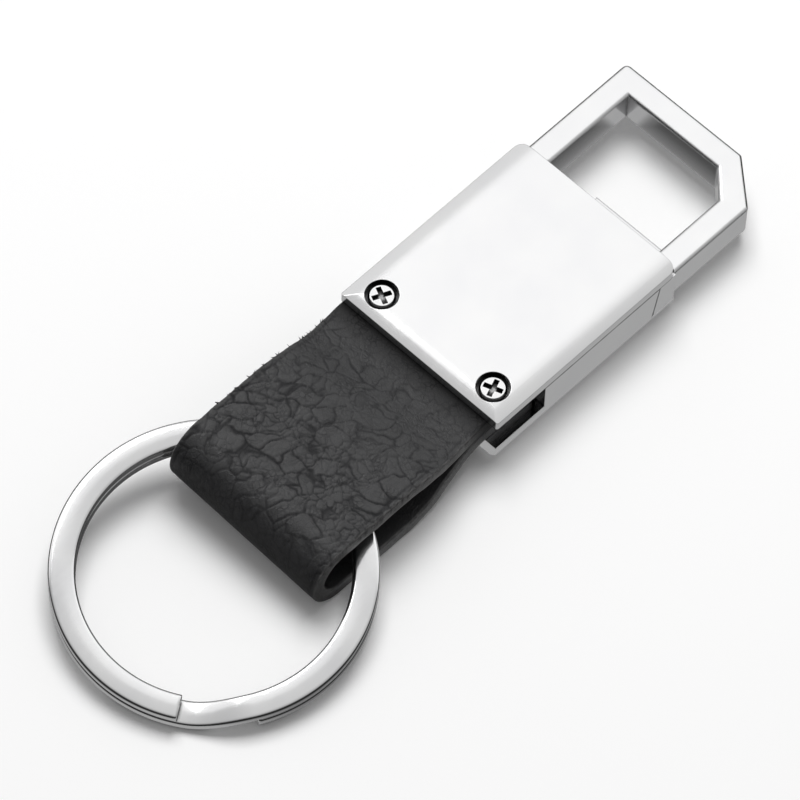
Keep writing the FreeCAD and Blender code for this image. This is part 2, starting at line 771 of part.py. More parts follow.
def build_split_ring():
    """Flat wire wound twice, stepping from the lower turn to the upper at the joint."""
    body = new_body("split_ring")
    outer = S.ring_dia / 2
    inner = outer - S.ring_wid
    lift = S.turn_gap / 2

    def wire_section(low):
        high = low + S.turn_thk
        r = S.wire_round
        k = r * (1 - math.sqrt(0.5))
        return outline(
            (inner + r, low), (outer - r, low), (outer - k, low + k),
            (outer, low + r), (outer, high - r), (outer - k, high - k),
            (outer - r, high), (inner + r, high), (inner + k, high - k),
            (inner, high - r), (inner, low + r), (inner + k, low + k),
        )

    def section_at(name, low, angle):
        sketch = add_sketch(body, name, "XZ_Plane", wire_section(low))
        sketch.AttachmentOffset = FreeCAD.Placement(Vec(0, 0, 0), FreeCAD.Rotation(Vec(0, 1, 0), angle))
        doc.recompute()
        return sketch

    def add_turn(name, sketch):
        turn = body.newObject("PartDesign::Revolution", name)
        turn.Profile = sketch
        turn.ReferenceAxis = (origin_feature(body, "Z_Axis"), [""])
        turn.setExpression("Angle", "360 - Sizes.joint_span - Sizes.joint_slit")
        doc.recompute()
        return turn

    low_turn = -S.turn_thk - lift
    half_span = S.joint_span / 2
    add_turn("lower_turn", section_at("lower_section", low_turn, half_span + S.joint_slit))
    crimp = []
    for i in range(int(S.joint_steps) + 1):
        share = i / S.joint_steps
        rise = (1 - math.cos(math.pi * share)) / 2
        low = low_turn + (lift - low_turn) * rise
        crimp.append(section_at("crimp_%d" % i, low, (share - 0.5) * S.joint_span))
    step = body.newObject("PartDesign::AdditiveLoft", "joint_step")
    step.Profile = crimp[0]
    step.Sections = crimp[1:]
    step.Ruled = True
    doc.recompute()
    add_turn("upper_turn", section_at("upper_section", lift, half_span))

    # The ring leans with the loop: one side on the floor, the other in the middle of the eye
    side = min(S.ring_side, 0.97 * inner - S.strap_wid / 2)
    bite = math.sqrt(inner ** 2 - (S.strap_wid / 2 + side) ** 2)
    centre_x = strap_x - S.strap_reach + S.leather_thk + S.ring_slack - bite
    roll_angle = math.radians(S.ring_roll)

    def centre_height(tilt_angle):
        upright = math.cos(tilt_angle) * math.cos(roll_angle)
        return S.floor_gap + outer * math.sqrt(1 - upright * upright) + (S.turn_thk + lift) * upright

    def above_eye(tilt_angle):
        at_eye = (eye_x - centre_x) * math.tan(tilt_angle) + side * math.tan(roll_angle)
        return centre_height(tilt_angle) + at_eye - eye_z

    least, most = 0.0, 0.5
    for _ in range(40):
        tilt_angle = (least + most) / 2
        if above_eye(tilt_angle) > 0:
            most = tilt_angle
        else:
            least = tilt_angle
    tilt = FreeCAD.Rotation(Vec(0, 1, 0), -math.degrees(tilt_angle))
    roll = FreeCAD.Rotation(Vec(1, 0, 0), math.degrees(roll_angle))
    spin = FreeCAD.Rotation(Vec(0, 0, 1), S.ring_joint)
    centre = Vec(centre_x, -S.strap_side - side, centre_height(tilt_angle))
    body.Placement = FreeCAD.Placement(centre, tilt.multiply(roll).multiply(spin))
    doc.recompute()
    return body


screw_pattern = build_screw()
nodes = [
    build_front_shell(),
    build_back_cover(),
    build_cover_screws(screw_pattern),
    build_mouth_block(),
    build_hook(),
    build_swivel_rod(),
    build_cross_pin(),
    build_return_spring(),
    build_spring_washer(),
    build_retaining_clip(),
    build_strap(),
    build_split_ring(),
]
doc.recompute()

for item in doc.Objects:
    if "Invalid" in item.State or "Error" in item.State:
        raise ValueError("%s: %s" % (item.Name, item.State))
os.makedirs("parts", exist_ok=True)
for node in nodes:
    if node.Shape.isNull() or not node.Shape.isValid():
        raise ValueError(node.Label + " has no valid shape")
    box = node.Shape.BoundBox
    print(
        "%-15s %d solid, %.1f mm3, X %.2f..%.2f Y %.2f..%.2f Z %.2f..%.2f"
        % (
            node.Label, len(node.Shape.Solids), node.Shape.Volume,
            box.XMin, box.XMax, box.YMin, box.YMax, box.ZMin, box.ZMax,
        )
    )
    node.Shape.exportStep("parts/%s.step" % node.Label)
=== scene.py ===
import math
import random

import bpy
from mathutils import Matrix, Vector
from mathutils import noise as field


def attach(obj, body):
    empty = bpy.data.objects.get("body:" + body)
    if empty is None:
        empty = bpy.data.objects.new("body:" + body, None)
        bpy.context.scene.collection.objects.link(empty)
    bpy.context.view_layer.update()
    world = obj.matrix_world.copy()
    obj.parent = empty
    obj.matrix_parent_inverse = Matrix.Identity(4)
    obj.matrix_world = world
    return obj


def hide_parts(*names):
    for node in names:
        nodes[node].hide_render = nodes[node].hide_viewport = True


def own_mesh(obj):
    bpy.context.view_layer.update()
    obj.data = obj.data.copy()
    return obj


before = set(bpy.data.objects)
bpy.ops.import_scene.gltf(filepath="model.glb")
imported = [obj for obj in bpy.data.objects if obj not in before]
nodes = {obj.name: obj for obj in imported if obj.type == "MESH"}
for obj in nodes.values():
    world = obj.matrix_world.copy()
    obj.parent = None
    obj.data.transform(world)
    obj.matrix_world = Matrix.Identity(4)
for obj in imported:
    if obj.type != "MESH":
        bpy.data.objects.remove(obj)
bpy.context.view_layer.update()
MM = 0.001

# Strap, as in the CAD, in millimetres
STRAP_X = -13.2
STRAP_WIDTH = 20.4
STRAP_MIDDLE = -0.5
STRAP_REACH = 25.8
STRAP_GRIP = 6.8
LEATHER = 1.65
LOOP_RADIUS = 3.1
LOOP_TWIST = 0.65
LOOP_LENGTH = 8.4
EYE_Z = 4.595
TOP_LAYER_Z = 5.035
LOW_LAYER_Z = 3.265
FOLD_X = STRAP_X - STRAP_REACH + LOOP_RADIUS + LEATHER / 2
EYE_X = FOLD_X + LOOP_LENGTH / 2

# Split ring, as in the CAD, in millimetres and degrees, with the search for its tilt in radians
RING_OUTER = 16.5
RING_WIDTH = 2.75
RING_SLACK = 1.3
RING_SIDE = 1.1
RING_ROLL = 4.6
RING_JOINT = 226.0
TURN_THICK = 1.2
TURN_GAP = 0.06
JOINT_SPAN = 26.0
JOINT_SLIT = 1.4
WIRE_CORNER = 0.42
WIRE_CROWN = 0.05
STEEPEST_TILT = 0.5
TILT_HALVINGS = 40

# Return spring, as in the CAD, in millimetres
SPRING_RADIUS = 1.5
SPRING_WIRE = 0.2
SPRING_TURNS = 5
SPRING_END_X = 8.0
SPRING_PLAY = 0.04
ROD_Y = -1.5
ROD_Z = 3.7

# The leather's own unevenness: sizes in millimetres, and shares of them
STRAP_SKEW = 1.1
SKEW_LENGTH = 10.5
FREE_START = 0.6
FREE_LENGTH = 2
EDGE_RADIUS = 0.25
EDGE_WANDER = 0.09
EDGE_WAVE = 2.5
EDGE_LAYERS = (20, 3.0)
GRAIN_DEPTH = 0.15
GRAIN_BENDS = ((0.9, 2.4), (0.3, 0.8))
GRAIN_STRENGTH = (
    (0, 0.4), (8, 0.5), (18, 0.75), (26, 1.0), (29, 0.9), (31, 0.6), (34, 0.15), (46, 0.15), (60, 0.4),
)
PATCH_SIZE = 3.5
PEBBLE_SQUEEZE = 0.62
LARGE_PEBBLE = 1.6
LARGE_CREASE = 0.25
SMALL_PEBBLE = 0.95
SMALL_CREASE = 0.19
SMALL_SHARE = 0.6
SWELL_SIZE = 1.9
SWELL_SHARE = 0.32
EDGE_LINE_INSET = 0.6
EDGE_LINE_WIDTH = 0.22
EDGE_LINE_DEPTH = 0.08
PATCH_LAYER, SMALL_LAYER, SWELL_LAYER = (Vector((0, 0, layer)) for layer in (9, 31, 17))
GRAIN_SEED = 4
FIBRES = 26
FIBRE_SEED = 5
FIBRE_LEAN = (-1.2, 1.2)
FIBRE_LIFT = (-0.2, 0.9)
FIBRE_HALF_WIDTH = (0.08, 0.16)
FIBRE_LENGTH = (0.15, 0.4)
FIBRE_ROOT = 0.15
FIBRE_THICK = 0.1

# Steps of the meshes along and round their pieces
GRIP_STEPS = 16
TOP_STEPS = 126
TOP_EYE_STEPS = 80
FOLD_STEPS = 96
LOW_EYE_STEPS = 20
LOW_STEPS = 32
FACE_STEPS = 190
BACK_STEPS = 30
CORNER_STEPS = 6
CROWN_STEPS = 8
RING_STEPS = 600
SPRING_STEPS = 48
SPRING_SIDES = 10

# Metal: marks in cycles per metre, sizes in millimetres, and painted shade by how open a place is
CLOUDS = 160.0
SPECKS = 1500.0
RUBBING = (220.0, 2600.0, 2600.0)
SCRATCH_DEPTH = 0.02
SHADE_REACH = 0.7
CREVICE_SHADE = ((0.3, 0.03), (0.5, 0.2), (0.72, 1.0))
RECESS_SHADE = ((0.45, 0.02), (0.75, 0.12), (0.93, 1.0))
COVER_SEAM = ((0, 0, 1), 5.9)
MOUTH_SEAM = ((1, 0, -0.1915), 9.72)
SEAM_HALF_WIDTH = (0.04, 0.12)
SEAM_RAGGED = (-0.02, 0.03)
NICKEL = (0.96, 0.96, 0.96)
NICKEL_RUBBED = 0.10

# Leather: marks in cycles per millimetre, lengths in millimetres
CRACKS = 1.7
CRACK_SHARE = 0.14
CRACK_BENDS = 1.3
CRACK_SHIFT = (0.7, 0.7, 0.0)
CRACK_PATCHES = 0.45
PORES = 6.5
RIM_PATCHES = 1.5
PORE_DEPTH = 0.08
# Leather colour by crease depth; the darker stops are painted shade in creases and cracks
HIDE_WITH_CREASE_SHADE = ((0.0, (0.028, 0.028, 0.029)), (0.35, (0.012, 0.012, 0.013)), (1.0, (0.004, 0.004, 0.005)))
# Paler colour at the cut edges' rims: part wear, part painted highlight
WORN_AND_HIGHLIGHT_RIM = (0.11, 0.108, 0.106, 1)
# Length of the painted shade from the cover on the leather's first stretch
PAINTED_SHADE_LENGTH = 3.5

# Table, and the painted reflection of it that the metal shows, with sizes in millimetres
FLOOR_GAP = 0.02
FLOOR_HALF = 2000
TABLE_WHITE = (0.99, 0.99, 0.99, 1)
PART_MIDDLE = (-15.8, 0, 0)
PART_HALF = (44.6, 13.5, 0)
PART_FADE = (1.0, 8.0)
HOOK_MIDDLE = (19.5, 0, 0)
HOOK_HALF = (6.4, 7.7, 0)
HOOK_FADE = (-2.6, -0.4)
RING_MIDDLE = (-43.9, -1.6, 0)
RING_FADE = (13.5, 14.5)
DIP_REACH = 12

# Studio that the metal mirrors: directions, and brightness by the cosine to them or by height
DOME_WAY = (0.511, 0.179, 0.833)
DOME = (
    (0.0, 0.025), (0.12, 0.1), (0.3, 0.34), (0.45, 0.42), (0.6, 0.49), (0.83, 0.585), (0.96, 0.665),
)
PANEL_WAY = (0.743, 0.669, 0.0)
PANEL = ((0.15, 0.0), (0.3, 0.83), (0.5, 1.0), (0.6, 1.0), (0.75, 0.73))
HORIZON = ((0.02, 0.02), (0.16, 1.0))
UNDERNEATH = ((0.5, 0.49), (0.9, 0.16), (1.0, 0.0))
FILL_LIGHT = 0.34

# Lamps and camera, in millimetres and degrees
LAMP_TARGET = (-16.6, 0, 4.0)
LAMP_DISTANCE = 800
CAMERA_TARGET = (-16.607, -0.811, 4.0)
CAMERA_DISTANCE = 705.3
CAMERA_AZIMUTH = -47.985
CAMERA_ELEVATION = 57.996
CAMERA_ROLL = -2.583
CAMERA_LENS = 315
CAMERA_SENSOR = 36


def in_metres(sizes):
    return tuple(size * MM for size in sizes)


# Shader helpers
def new_material(name):
    material = bpy.data.materials.new(name)
    material.use_nodes = True
    tree = material.node_tree
    tree.nodes.clear()
    return material, tree


def add(tree, kind, inputs=None, **settings):
    """A shader node with its settings and inputs: a value sets a socket, a socket is linked."""
    node = tree.nodes.new(kind)
    for key, value in settings.items():
        setattr(node, key, value)
    for key, value in (inputs or {}).items():
        socket = node.inputs[key]
        if isinstance(value, bpy.types.NodeSocket):
            tree.links.new(value, socket)
        else:
            socket.default_value = value
    return node


def ramp(tree, source, *stops):
    """A colour ramp over (place, grey or colour) stops."""
    node = add(tree, "ShaderNodeValToRGB", {"Fac": source})
    elements = node.color_ramp.elements
    while len(elements) < len(stops):
        elements.new(0.5)
    for element, (place, value) in zip(elements, stops):
        element.position = place
        element.color = (*value, 1) if isinstance(value, tuple) else (value, value, value, 1)
    return node.outputs["Color"]


def spread(tree, source, low, high, start=0.0, end=1.0):
    """A value from start..end carried to low..high."""
    node = add(
        tree, "ShaderNodeMapRange",
        {"Value": source, "From Min": start, "From Max": end, "To Min": low, "To Max": high},
    )
    return node.outputs["Result"]


def math_node(tree, operation, first, second=0.0):
    return add(tree, "ShaderNodeMath", {0: first, 1: second}, operation=operation).outputs[0]


def vector_math(tree, operation, first, second=(0, 0, 0), output="Vector"):
    node = add(tree, "ShaderNodeVectorMath", {0: first, 1: second}, operation=operation)
    return node.outputs[output]


def noise(tree, place, scale, detail=3.0, rough=0.5):
    node = add(
        tree, "ShaderNodeTexNoise",
        {"Vector": place, "Scale": scale, "Detail": detail, "Roughness": rough},
    )
    return node.outputs["Fac"]


def scaled(tree, place, size):
    return add(tree, "ShaderNodeMapping", {"Vector": place, "Scale": size}).outputs["Vector"]


def blended(tree, blend, first, second, share=1.0):
    node = add(
        tree, "ShaderNodeMix", {"Factor": share, 6: first, 7: second}, data_type="RGBA", blend_type=blend
    )
    return node.outputs[2]


def mixed(tree, share, first, second):
    """A shader that turns from the first node's to the second node's with the share."""
    return add(tree, "ShaderNodeMixShader", {0: share, 1: first.outputs[0], 2: second.outputs[0]})


# Materials
def seam_line(tree, place, ragged, way, offset):
    """A dark line with ragged sides where the surface meets the plane across way at the offset."""
    along = vector_math(tree, "DOT_PRODUCT", place, way, "Value")
    off = math_node(tree, "ABSOLUTE", math_node(tree, "SUBTRACT", along, offset * MM))
    off = math_node(tree, "SUBTRACT", off, spread(tree, ragged, *in_metres(SEAM_RAGGED), 0.3, 0.7))
    return ramp(tree, spread(tree, off, 0.0, 1.0, *in_metres(SEAM_HALF_WIDTH)), (0.0, 0.06), (1.0, 1.0))


def metal(name, dark, light, rough, scratch, round_edge, seam=None, dirt=CREVICE_SHADE, alone=False):
    """Plated or plain metal: cloudy roughness, fine rubbing marks, softened edges and painted shade in
    crevices.

    A seam is the direction and the offset, in millimetres, of a dark joint line. A piece that lies on the
    table looks for the crevices of its painted shade alone.
    """
    material, tree = new_material(name)
    place = add(tree, "ShaderNodeTexCoord").outputs["Object"]
    cloud = noise(tree, place, CLOUDS, 4.0)
    fine = noise(tree, place, SPECKS)
    rub = noise(tree, scaled(tree, place, RUBBING), 1.0, 2.0)
    colour = ramp(tree, cloud, (0.3, dark), (0.7, light))
    # Painted shade: the colour darkens in crevices and recesses by how enclosed they are
    hollow = add(
        tree, "ShaderNodeAmbientOcclusion", {"Distance": SHADE_REACH * MM}, samples=8, only_local=alone
    )
    colour = blended(tree, "MULTIPLY", colour, ramp(tree, hollow.outputs["AO"], *dirt))
    if seam:
        colour = blended(tree, "MULTIPLY", colour, seam_line(tree, place, fine, *seam))
    roughness = spread(tree, math_node(tree, "ADD", cloud, fine), *rough, 0.6, 1.4)
    normal = add(tree, "ShaderNodeBevel", {"Radius": round_edge * MM}, samples=6).outputs["Normal"]
    for height in (rub, fine):
        bump = {"Strength": scratch, "Distance": SCRATCH_DEPTH * MM, "Height": height, "Normal": normal}
        normal = add(tree, "ShaderNodeBump", bump).outputs["Normal"]
    shader = add(
        tree, "ShaderNodeBsdfPrincipled",
        {"Base Color": colour, "Metallic": 1.0, "Roughness": roughness, "Normal": normal},
    )
    add(tree, "ShaderNodeOutputMaterial", {"Surface": shader.outputs["BSDF"]})
    return material


def nickel(name, dull, rough, round_edge, **options):
    """Polished nickel plating, a little greyer and bluer in its duller clouds."""
    return metal(name, (dull, dull, dull + 0.01), NICKEL, rough, NICKEL_RUBBED, round_edge, **options)


def cracks(tree, place):
    """1 along fine bent lines that come and go over the hide, falling to 0 beside them."""
    bends = add(tree, "ShaderNodeTexNoise", {"Vector": place, "Scale": CRACK_BENDS, "Detail": 3.0})
    shift = vector_math(tree, "MULTIPLY", bends.outputs["Color"], CRACK_SHIFT)
    cells = add(
        tree, "ShaderNodeTexVoronoi",
        {"Vector": vector_math(tree, "ADD", place, shift), "Scale": CRACKS}, feature="DISTANCE_TO_EDGE",
    )
    line = spread(tree, cells.outputs["Distance"], 1.0, 0.0, 0.0, CRACK_SHARE)
    patches = spread(tree, noise(tree, place, CRACK_PATCHES, 2.0), 0.0, 1.0, 0.4, 0.7)
    return math_node(tree, "MULTIPLY", line, patches)


def leather():
    """Black grained leather: dull creases with painted shade between smoother pebbles, and paler rims at the
    cut edges, part wear and part painted highlight.

    Its first stretch out of the housing is darker, as painted shade from the cover, and duller.
    """
    material, tree = new_material("black_leather")
    place = add(tree, "ShaderNodeUVMap", uv_map="millimetres").outputs["UV"]
    crease = add(tree, "ShaderNodeAttribute", attribute_name="crease").outputs["Fac"]
    rim = add(tree, "ShaderNodeAttribute", attribute_name="rim").outputs["Fac"]
    travel = add(tree, "ShaderNodeSeparateXYZ", {"Vector": place}).outputs["X"]
    painted_shade_stretch = spread(tree, travel, 1.0, 0.0, STRAP_GRIP, STRAP_GRIP + PAINTED_SHADE_LENGTH)
    line = cracks(tree, place)
    pores = noise(tree, place, PORES, 5.0, 0.65)
    depth = math_node(tree, "MAXIMUM", crease, math_node(tree, "MULTIPLY", line, 0.4))
    height = math_node(
        tree, "SUBTRACT", math_node(tree, "MULTIPLY", pores, 0.6), math_node(tree, "MULTIPLY", line, 0.5)
    )
    bump = add(tree, "ShaderNodeBump", {"Strength": 0.75, "Distance": PORE_DEPTH * MM, "Height": height})
    # Paler rims, part wear and part painted highlight, in patches
    wear_and_highlight_patches = spread(tree, noise(tree, place, RIM_PATCHES), 0.25, 1.0, 0.35, 0.6)
    rim = math_node(tree, "MULTIPLY", rim, wear_and_highlight_patches)
    # Painted shade: the hide darkens with the depth of creases and cracks
    colour = blended(tree, "MIX", ramp(tree, depth, *HIDE_WITH_CREASE_SHADE), WORN_AND_HIGHLIGHT_RIM, rim)
    # Painted shade: darker on the first stretch out of the housing
    colour = blended(tree, "MULTIPLY", colour, spread(tree, painted_shade_stretch, 1.0, 0.4))
    dull = spread(tree, depth, 0.26, 0.58, 0.08, 0.6)
    dull = math_node(tree, "ADD", dull, spread(tree, pores, 0.0, 0.18, 0.3, 0.7))
    roughness = math_node(tree, "ADD", dull, spread(tree, painted_shade_stretch, 0.0, 0.4))
    shader = add(
        tree, "ShaderNodeBsdfPrincipled",
        {
            "Base Color": colour, "Roughness": roughness, "Specular IOR Level": 0.55,
            "Normal": bump.outputs["Normal"],
        },
    )
    add(tree, "ShaderNodeOutputMaterial", {"Surface": shader.outputs["BSDF"]})
    return material


ring_metal = nickel("ring_nickel", 0.89, (0.09, 0.17), 0.04)
steel = metal("drawn_steel", (0.52, 0.52, 0.54), (0.71, 0.71, 0.73), (0.22, 0.38), 0.30, 0.05)
leather_black = leather()
finishes = {
    "back_cover": nickel("cover_nickel", 0.92, (0.11, 0.17), 0.10, seam=COVER_SEAM),
    "front_shell": nickel("shell_nickel", 0.92, (0.11, 0.17), 0.10, seam=COVER_SEAM, alone=True),
    "cover_screws": nickel("screw_nickel", 0.89, (0.12, 0.2), 0.05, dirt=RECESS_SHADE),
    "mouth_block": nickel("block_nickel", 0.91, (0.12, 0.18), 0.05, seam=MOUTH_SEAM),
    "hook": nickel("hook_nickel", 0.91, (0.10, 0.18), 0.30),
    "swivel_rod": steel,
    "cross_pin": steel,
    "spring_washer": steel,
    "retaining_clip": steel,
}
for node_name, finish in finishes.items():
    for material_slot in nodes[node_name].material_slots:
        material_slot.material = finish


# Pieces modelled here
def add_mesh(name, vertices, faces, material, uvs=None, **values):
    """A smooth-shaded piece from vertices in millimetres, with a UV and named values for each vertex."""
    mesh = bpy.data.meshes.new(name)
    mesh.from_pydata([Vector(v) * MM for v in vertices], [], faces)
    if uvs:
        layer = mesh.uv_layers.new(name="millimetres")
        for loop in mesh.loops:
            layer.data[loop.index].uv = uvs[loop.vertex_index]
    for label, numbers in values.items():
        mesh.attributes.new(label, "FLOAT", "POINT").data.foreach_set("value", numbers)
    mesh.materials.append(material)
    mesh.shade_smooth()
    mesh.validate()
    piece = bpy.data.objects.new(name, mesh)
    bpy.context.scene.collection.objects.link(piece)
    return piece


def tube_faces(rows, count):
    """Faces of a loop of count points swept over so many rows, with its two ends closed."""
    faces = []
    for row in range(rows - 1):
        for i in range(count):
            j = (i + 1) % count
            here, there = row * count, (row + 1) * count
            faces.append((here + i, here + j, there + j, there + i))
    faces.append(tuple(reversed(range(count))))
    faces.append(tuple(range((rows - 1) * count, rows * count)))
    return faces


def s_curve(start, end, steps):
    """Points along two equal arcs, level at both ends."""
    run, rise = end[0] - start[0], end[1] - start[1]
    radius = (run * run + rise * rise) / (4 * abs(rise))
    turn = 2 * math.atan2(abs(rise) / 2, abs(run) / 2)
    way, side = math.copysign(1, run), math.copysign(1, rise)
    points = []
    for i in range(1, steps + 1):
        share = 2 * i / steps
        if share <= 1:
            angle = turn * share
            points.append((
                start[0] + way * radius * math.sin(angle),
                start[1] + side * radius * (1 - math.cos(angle)),
            ))
        else:
            angle = turn * (2 - share)
            points.append((
                end[0] - way * radius * math.sin(angle),
                end[1] - side * radius * (1 - math.cos(angle)),
            ))
    return points


def straight(start, end, steps):
    return [
        (start[0] + (end[0] - start[0]) * i / steps, start[1] + (end[1] - start[1]) * i / steps)
        for i in range(1, steps + 1)
    ]


def strap_line(fold_z):
    """Middle line of the folded leather, from the top layer's clamped end round to the lower one's."""
    inside = STRAP_X + STRAP_GRIP
    leave = STRAP_X - LEATHER / 2
    loop_x = FOLD_X + LOOP_LENGTH
    top, low = fold_z + LOOP_RADIUS, fold_z - LOOP_RADIUS
    points = [(inside, TOP_LAYER_Z)]
    points += straight(points[-1], (leave, TOP_LAYER_Z), GRIP_STEPS)
    points += s_curve(points[-1], (loop_x, top), TOP_STEPS)
    points += straight(points[-1], (FOLD_X, top), TOP_EYE_STEPS)
    for i in range(1, FOLD_STEPS + 1):
        angle = math.pi * (0.5 + i / FOLD_STEPS)
        points.append((FOLD_X + LOOP_RADIUS * math.cos(angle), fold_z + LOOP_RADIUS * math.sin(angle)))
    points += straight(points[-1], (loop_x, low), LOW_EYE_STEPS)
    points += s_curve(points[-1], (leave, LOW_LAYER_Z), LOW_STEPS)
    points += straight(points[-1], (inside, LOW_LAYER_Z), GRIP_STEPS)
    return points


def strap_section():
    """Rounded outline of the leather's section: (across, height, rim) for each point, outer face first."""
    side = LEATHER / 2
    flat = STRAP_WIDTH / 2 - EDGE_RADIUS
    outline = [(flat * (1 - 2 * i / FACE_STEPS), side, 0.0) for i in range(FACE_STEPS + 1)]

    def add_corner(edge, level, first):
        for i in range(1, CORNER_STEPS + 1):
            share = i / CORNER_STEPS
            angle = math.pi / 2 * (first + share)
            across = edge * flat + EDGE_RADIUS * math.cos(angle)
            height = level * (side - EDGE_RADIUS) + EDGE_RADIUS * math.sin(angle)
            cut = share if edge * level < 0 else 1 - share
            crest = 1 - abs(2 * share - 1)
            # The rim value marks paler colour, part wear and part painted highlight, strongest on the
            # rounding's crest
            outline.append((across, height, 0.3 * cut + 0.7 * crest))

    add_corner(-1, 1, 1)
    add_corner(-1, -1, 2)
    outline.extend((flat * (2 * i / BACK_STEPS - 1), -side, 0.0) for i in range(1, BACK_STEPS + 1))
    add_corner(1, -1, 3)
    add_corner(1, 1, 4)
    return outline[:-1]


def between_stops(place, *stops):
    """A value that runs smoothly through (place, value) stops."""
    for (start, low), (end, high) in zip(stops, stops[1:]):
        if place <= end:
            share = min(max((place - start) / (end - start), 0), 1)
            return low + (high - low) * share * share * (3 - 2 * share)
    return stops[-1][1]


def groove(place, size, width):
    """1 in the crease between two pebbles of the grain, falling to 0 on their tops."""
    near = field.voronoi(place / size)[0]
    return max(0, 1 - (near[1] - near[0]) * size / width) ** 2


def grain(travel, across):
    """Depth of the leather's grain in millimetres, and how much of a crease it is, from 0 to 1."""
    place = Vector((travel, across, 0))
    bent = place.copy()
    for shift, size in GRAIN_BENDS:
        bent += shift * field.noise_vector(place / size)
    strength = between_stops(travel, *GRAIN_STRENGTH)
    patch = min(max(0.6 + 0.9 * field.noise(place / PATCH_SIZE + PATCH_LAYER), 0.15), 1)
    slant = Vector((PEBBLE_SQUEEZE * (bent.x + bent.y), bent.x - bent.y, 0)) / math.sqrt(2)
    large = groove(slant, LARGE_PEBBLE, LARGE_CREASE) * patch
    small = groove(bent + SMALL_LAYER, SMALL_PEBBLE, SMALL_CREASE) * (1.25 - patch)
    creases = large + SMALL_SHARE * small
    swell = field.noise(place / SWELL_SIZE + SWELL_LAYER)
    inset = abs(STRAP_WIDTH / 2 - abs(across) - EDGE_LINE_INSET)
    edge = 0.5 * patch * max(0, 1 - inset / EDGE_LINE_WIDTH)
    depth = GRAIN_DEPTH * strength * (creases - SWELL_SHARE * swell) + EDGE_LINE_DEPTH * edge
    return depth, min(strength * creases + edge, 1)


def fibres(edge):
    """Short pointed fibres on (place, out, travel) places of an edge: the travel and four points of each."""
    draw = random.Random(FIBRE_SEED)
    for _ in range(FIBRES):
        place, out, travel = draw.choice(edge)
        lean = Vector((draw.uniform(*FIBRE_LEAN), 1, 0)) + out * draw.uniform(*FIBRE_LIFT)
        lean.normalize()
        side = lean.cross(out).normalized() * draw.uniform(*FIBRE_HALF_WIDTH)
        root = place - lean * FIBRE_ROOT
        tip = place + lean * draw.uniform(*FIBRE_LENGTH)
        yield travel, (root - side, root + side, root + out * FIBRE_THICK, tip)


def build_strap():
    """The folded leather, grained, a little uneven, with a few fibres standing off its far cut edge."""
    half = STRAP_WIDTH / 2
    section = strap_section()
    lines = {y: strap_line(EYE_Z + LOOP_TWIST * y / half) for y, _, _ in section}
    middle = strap_line(EYE_Z)
    rows = len(middle)
    vertices, uvs, rims, creases = [], [], [], []
    far_edge = []
    travel = 0.0
    for row in range(rows):
        if row:
            travel += math.dist(middle[row], middle[row - 1])
        x = middle[row][0]
        free = min(max((STRAP_X - FREE_START - x) / FREE_LENGTH, 0), 1)
        skew = STRAP_SKEW * between_stops(-x, (-STRAP_X, 1), (SKEW_LENGTH - STRAP_X, 0))
        for y, height, rim in section:
            line = lines[y]
            before, after = line[max(row - 1, 0)], line[min(row + 1, rows - 1)]
            along = Vector((after[0] - before[0], 0, after[1] - before[1])).normalized()
            out = Vector((along.z, 0, -along.x))
            depth, crease = grain(travel, y) if height > 0 else (0.0, 0.0)
            wave = Vector((travel / EDGE_WAVE, math.copysign(EDGE_LAYERS[0], y), EDGE_LAYERS[1]))
            trim = EDGE_WANDER * field.noise(wave)
            wide = y * (1 + free * trim / half)
            place = Vector((line[row][0], STRAP_MIDDLE + skew + wide, line[row][1]))
            vertices.append(place + out * (height - free * depth))
            uvs.append((travel, y + 3 * height))
            rims.append(rim * free)
            creases.append(crease * free)
            if y > half - 0.1 and height > 0 and rim > 0.8 and free == 1:
                far_edge.append((vertices[-1], out, travel))
    faces = tube_faces(rows, len(section))
    for travel, points in fibres(far_edge[: len(far_edge) // 2]):
        base = len(vertices)
        vertices += points
        uvs += [(travel, 0)] * 4
        rims += [0.0] * 4
        creases += [0.5] * 4
        faces += [(base, base + 1, base + 3), (base + 1, base + 2, base + 3), (base + 2, base, base + 3)]
        faces.append((base, base + 2, base + 1))
    return add_mesh("leather_strap", vertices, faces, leather_black, uvs, rim=rims, crease=creases)


def ring_place():
    """The ring leans with the loop: one side on the floor, the other in the middle of the eye."""
    inner = RING_OUTER - RING_WIDTH
    bite = math.sqrt(inner ** 2 - (STRAP_WIDTH / 2 + RING_SIDE) ** 2)
    centre_x = STRAP_X - STRAP_REACH + LEATHER + RING_SLACK - bite
    roll = math.radians(RING_ROLL)

    def height(tilt):
        upright = math.cos(tilt) * math.cos(roll)
        return (
            FLOOR_GAP + RING_OUTER * math.sqrt(1 - upright * upright)
            + (TURN_THICK + TURN_GAP / 2) * upright
        )

    least, most = 0.0, STEEPEST_TILT
    for _ in range(TILT_HALVINGS):
        tilt = (least + most) / 2
        if height(tilt) + (EYE_X - centre_x) * math.tan(tilt) + RING_SIDE * math.tan(roll) > EYE_Z:
            most = tilt
        else:
            least = tilt
    turn = Matrix.Rotation(-tilt, 3, "Y") @ Matrix.Rotation(roll, 3, "X")
    turn = turn @ Matrix.Rotation(math.radians(RING_JOINT), 3, "Z")
    return Vector((centre_x, STRAP_MIDDLE - RING_SIDE, height(tilt))), turn


